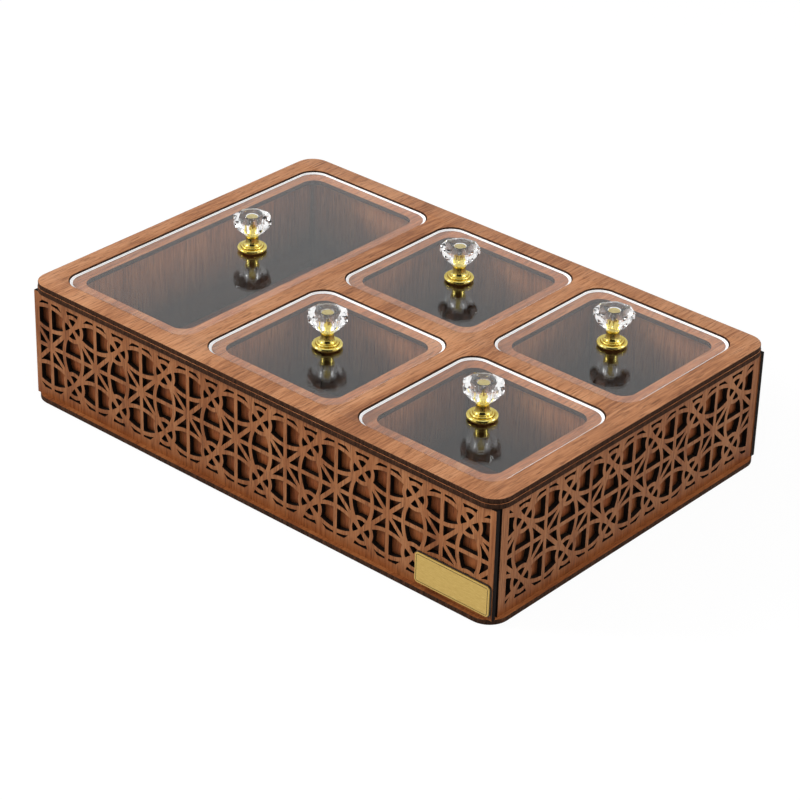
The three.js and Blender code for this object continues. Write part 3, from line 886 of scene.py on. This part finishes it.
crystal_glass = clear("crystal_glass", (1, 1, 1, 1), 1.52, 0.85)


def cut_away(solid, tool):
    """The solid with the tool cut out of it, both as bmeshes."""
    pair = []
    for name, part in (("solid", solid), ("tool", tool)):
        mesh = bpy.data.meshes.new(name)
        part.to_mesh(mesh)
        part.free()
        pair.append(bpy.data.objects.new(name, mesh))
        bpy.context.collection.objects.link(pair[-1])
    cut = pair[0].modifiers.new("cut", "BOOLEAN")
    cut.operation = "DIFFERENCE"
    cut.object = pair[1]
    result = bmesh.new()
    result.from_mesh(pair[0].evaluated_get(bpy.context.evaluated_depsgraph_get()).to_mesh())
    for part in pair:
        bpy.data.meshes.remove(part.data)
    return result


def turned(profile, steps):
    """A solid of revolution from (radius, height) points in mm that start and end on the axis."""
    solid = bmesh.new()
    line = [solid.verts.new((radius * MM, 0, height * MM)) for radius, height in profile]
    edges = [solid.edges.new(pair) for pair in zip(line, line[1:])]
    bmesh.ops.spin(solid, geom=line + edges, axis=(0, 0, 1), cent=(0, 0, 0), steps=steps, angle=2 * math.pi,
                   use_duplicate=False)
    bmesh.ops.remove_doubles(solid, verts=solid.verts, dist=0.001 * MM)
    bmesh.ops.recalc_face_normals(solid, faces=solid.faces)
    return solid


def crystal_solid():
    """A hull round the rings of corners, with a bore from below."""
    solid = bmesh.new()
    for height, radius, shift in CRYSTAL_RINGS:
        for corner in range(CRYSTAL_SIDES):
            angle = (corner + shift) * 2 * math.pi / CRYSTAL_SIDES
            solid.verts.new((radius * math.cos(angle) * MM, radius * math.sin(angle) * MM, height * MM))
    bmesh.ops.convex_hull(solid, input=solid.verts)
    bmesh.ops.dissolve_limit(solid, angle_limit=math.radians(1), verts=solid.verts, edges=solid.edges)
    bore = turned([(0, -1), (BORE_RADIUS, -1), (BORE_RADIUS, BORE_TOP), (0, BORE_TOP)], 32)
    return cut_away(solid, bore)


for (window_name, x, y, _), turn in zip(WINDOWS, CRYSTAL_TURNS):
    name = f"knob_crystal_{window_name}"
    turn_to_side = Matrix.Rotation(math.radians(turn + HALF_SIDE_TURN), 4, "Z")
    to_stem = Matrix.Translation((x * MM, y * MM, starts_at(name)))
    crystal = make_piece(f"{name}_cut", crystal_solid(), [crystal_glass], lid_body(window_name),
                         [name], to_stem @ turn_to_side, sharp_from=12)
    shining_pieces.objects.link(crystal)

# %% [markdown]
# ## The brass stems and screws
#
# The stem is turned from brass: a foot with a rounded rim and two beads, a neck, a small cup for the
# crystal, and a stud with a flat head inside it. A profile spun round its axis is how a lathe makes
# it too. The screw from below has a domed head with a cross recess. Polished brass shows little but
# what it mirrors, so its finish is only two close golds and a thin film of changing shine.

# %% Make the brass
FILM_SPOT = 6
MIRROR_FINISH = (0.03, 0.07)


def brass_look(name):
    look = new_look(name)
    tree = look.node_tree
    film = stretched_noise(tree, ALONG_Z, FILM_SPOT, FILM_SPOT, 3, 0.6, 0)
    shade = ramp(tree, film, [(0.35, colour("dcc25c")), (0.65, colour("ead982"))])
    shader = add_node(tree, "ShaderNodeBsdfPrincipled", {
        "Base Color": shade, "Metallic": 1.0, "Roughness": levels(tree, film, *MIRROR_FINISH),
    })
    return shown(look, shader)


polished_brass = brass_look("polished_brass")

# %% Turn the stems
FOOT_RADIUS = 9.1
RIM_ROUNDING = 1.35
STUD_TOP = 19.6
STEM_STEPS = 72


def bead(radius, height, size, first, last):
    """A rounded ring of a turned profile. Its angles start outwards and run over the top."""
    turns = [math.radians(degrees) for degrees in range(first, last + 1, 15)]
    return [(radius + size * math.cos(a), height + size * math.sin(a)) for a in turns]


def stem_profile():
    """Radius and height of the stem, from the bore for its screw up to the head of its stud."""
    rim_middle = FOOT_RADIUS - RIM_ROUNDING
    bore = [(0, 6.8), (2.2, 6.8), (2.2, 0), (rim_middle, 0)]
    foot = bead(rim_middle, RIM_ROUNDING, RIM_ROUNDING, -75, 150) + bead(6.0, 2.75, 0.72, -30, 150)
    foot += bead(4.95, 3.5, 0.42, -15, 120)
    neck = [(4.55, 4.05), (4.25, 4.6), (4.05, 5.2), (3.9, 6.0), (3.9, 8.6)]
    cup = [(4.0, 9.1), (4.3, 9.6), (4.6, 10.0), (4.65, 10.2), (4.5, 10.3)]
    stud = [(3.2, 10.3), (3.2, 18.4), (3.5, 18.6), (3.5, 19.4), (3.3, STUD_TOP), (0, STUD_TOP)]
    return bore + foot + neck + cup + stud


for window_name, x, y, _ in WINDOWS:
    name = f"knob_stem_{window_name}"
    stem = make_piece(f"{name}_turned", turned(stem_profile(), STEM_STEPS), [polished_brass],
                      lid_body(window_name), [name],
                      Matrix.Translation((x * MM, y * MM, starts_at(name))))
    shining_pieces.objects.link(stem)

# %% Turn the screws
SCREW_RADIUS = 1.9
HEAD_HEIGHT = 1.8
SCREW_LENGTH = 8.5
RECESS_LENGTH = 3.6
RECESS_WIDTH = 0.8
RECESS_DEPTH = 1.0
THREAD_DEPTH = 0.25
THREAD_PITCH = 0.7


def screw_solid():
    """A screw, its head below z = 0 and its shank up the stem."""
    head = [(0, -HEAD_HEIGHT), (1.6, -HEAD_HEIGHT + 0.05), (2.8, -HEAD_HEIGHT + 0.35), (3.5, -0.9),
            (3.8, -0.35), (3.8, 0), (SCREW_RADIUS, 0)]
    shank = []
    height = 0.4
    while height < SCREW_LENGTH - THREAD_PITCH:
        shank += [(SCREW_RADIUS, height), (SCREW_RADIUS - THREAD_DEPTH, height + THREAD_PITCH / 2)]
        height += THREAD_PITCH
    solid = turned(head + shank + [(1.4, SCREW_LENGTH), (0, SCREW_LENGTH)], 32)
    for size in ((RECESS_LENGTH, RECESS_WIDTH), (RECESS_WIDTH, RECESS_LENGTH)):
        tool = bmesh.new()
        bmesh.ops.create_cube(tool, size=1)
        tool.transform(Matrix.Translation((0, 0, -HEAD_HEIGHT * MM))
                       @ Matrix.Diagonal((size[0] * MM, size[1] * MM, 2 * RECESS_DEPTH * MM, 1)))
        solid = cut_away(solid, tool)
    return solid


for window_name, x, y, _ in WINDOWS:
    name = f"knob_screw_{window_name}"
    make_piece(f"{name}_turned", screw_solid(), [polished_brass], lid_body(window_name),
               [name], Matrix.Translation((x * MM, y * MM, starts_at(name) + HEAD_HEIGHT * MM)))

# %% [markdown]
# ## The plate on the front
#
# A small gold-coloured plate is stuck near the right end of the front, on a dark backing that
# shows all round it. A fine line is engraved just inside its rim, and its middle is bare. Both parts
# are stacks of rounded rectangles: each loop has its own inset and height, and neighbours are
# bridged.

# %% Make the plate
PLATE_LENGTH = 52.4
PLATE_HEIGHT = 19.2
PLATE_RADIUS = 2.2
BACKING_MARGIN = 0.5
LINE_INSET = 0.95
LINE_WIDTH = 0.3
LINE_DEPTH = 0.2
LINE_SLOPE = 0.05
RIM_ROUND = 0.15


def stacked(length, width, radius, steps):
    """A closed solid from (inset, height) steps of one rounded rectangle."""
    solid = bmesh.new()
    loops = []
    for inset, height in steps:
        points = rounded(0, 0, length - 2 * inset, width - 2 * inset, max(radius - inset, 0.3), 6)
        loops.append([solid.verts.new((x * MM, y * MM, height * MM)) for x, y in points])
    for low, high in zip(loops, loops[1:]):
        for here in range(len(low)):
            there = (here + 1) % len(low)
            solid.faces.new((low[here], low[there], high[there], high[here]))
    solid.faces.new(reversed(loops[0]))
    solid.faces.new(loops[-1])
    return solid


ALONG_X = 0
BRUSHED_FINISH = (0.34, 0.5)


def plate_gold_look(name):
    """Brushed gold-coloured metal under a thin lacquer."""
    look = new_look(name)
    tree = look.node_tree
    brushed = stretched_noise(tree, ALONG_X, 0.5, 4, 4, 0.7, 0)
    shade = ramp(tree, brushed, [
        (0.3, colour("bf9a4e")), (0.55, colour("cdac5e")), (0.75, colour("dcc074")),
    ])
    bump = add_node(tree, "ShaderNodeBump", {"Strength": 0.15, "Distance": 0.05 * MM, "Height": brushed})
    shader = add_node(tree, "ShaderNodeBsdfPrincipled", {
        "Base Color": shade, "Metallic": 0.55, "Roughness": levels(tree, brushed, *BRUSHED_FINISH),
        "Normal": bump.outputs[0],
    })
    return shown(look, shader)


def plate_dark_look(name):
    """A dark satin core, which shows in the backing and at the bottom of the engraved line."""
    look = new_look(name)
    tree = look.node_tree
    grain = stretched_noise(tree, ALONG_X, 0.8, 0.8, 3, 0.6, 0)
    shade = ramp(tree, grain, [(0.3, colour("12100e")), (0.7, colour("221c17"))])
    shader = add_node(tree, "ShaderNodeBsdfPrincipled", {"Base Color": shade, "Roughness": 0.5})
    return shown(look, shader)


plate_gold = plate_gold_look("plate_gold")
plate_dark = plate_dark_look("plate_dark")

# %% Put the face and the backing on the front
def thickness_of(name):
    """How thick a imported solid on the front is, in mm."""
    low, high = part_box(name)
    return (high.y - low.y) / MM


def on_front(name, thickness, height):
    """The matrix that stands a flat piece up on the front, its lower rim where the solid's is."""
    return stand_up(name, FRONT, thickness) @ Matrix.Translation((0, height / 2 * MM, 0))


face_top = thickness_of("plate_face")
line_floor = face_top - LINE_DEPTH
face = stacked(PLATE_LENGTH, PLATE_HEIGHT, PLATE_RADIUS, [
    (0.12, 0), (0, 0.12), (0, face_top - RIM_ROUND), (RIM_ROUND, face_top), (LINE_INSET, face_top),
    (LINE_INSET + LINE_SLOPE, line_floor), (LINE_INSET + LINE_WIDTH, line_floor),
    (LINE_INSET + LINE_WIDTH + LINE_SLOPE, face_top),
])
for side in face.faces:
    middle = side.calc_center_median() / MM
    engraved = line_floor - 0.01 < middle.z < face_top - 0.01
    inside = max(abs(middle.x) - PLATE_LENGTH / 2, abs(middle.y) - PLATE_HEIGHT / 2) < -LINE_INSET
    side.material_index = 1 if engraved and inside else 0
face.normal_update()
make_piece("plate_face_gold", face, [plate_gold, plate_dark], "box", ["plate_face"],
           on_front("plate_face", face_top, PLATE_HEIGHT))

backing_top = thickness_of("plate_backing")
backing_height = PLATE_HEIGHT + 2 * BACKING_MARGIN
backing = stacked(PLATE_LENGTH + 2 * BACKING_MARGIN, backing_height, PLATE_RADIUS + BACKING_MARGIN, [
    (0.1, 0), (0, 0.1), (0, backing_top - RIM_ROUND), (RIM_ROUND, backing_top),
])
make_piece("plate_backing_dark", backing, [plate_dark], "box", ["plate_backing"],
           on_front("plate_backing", backing_top, backing_height))
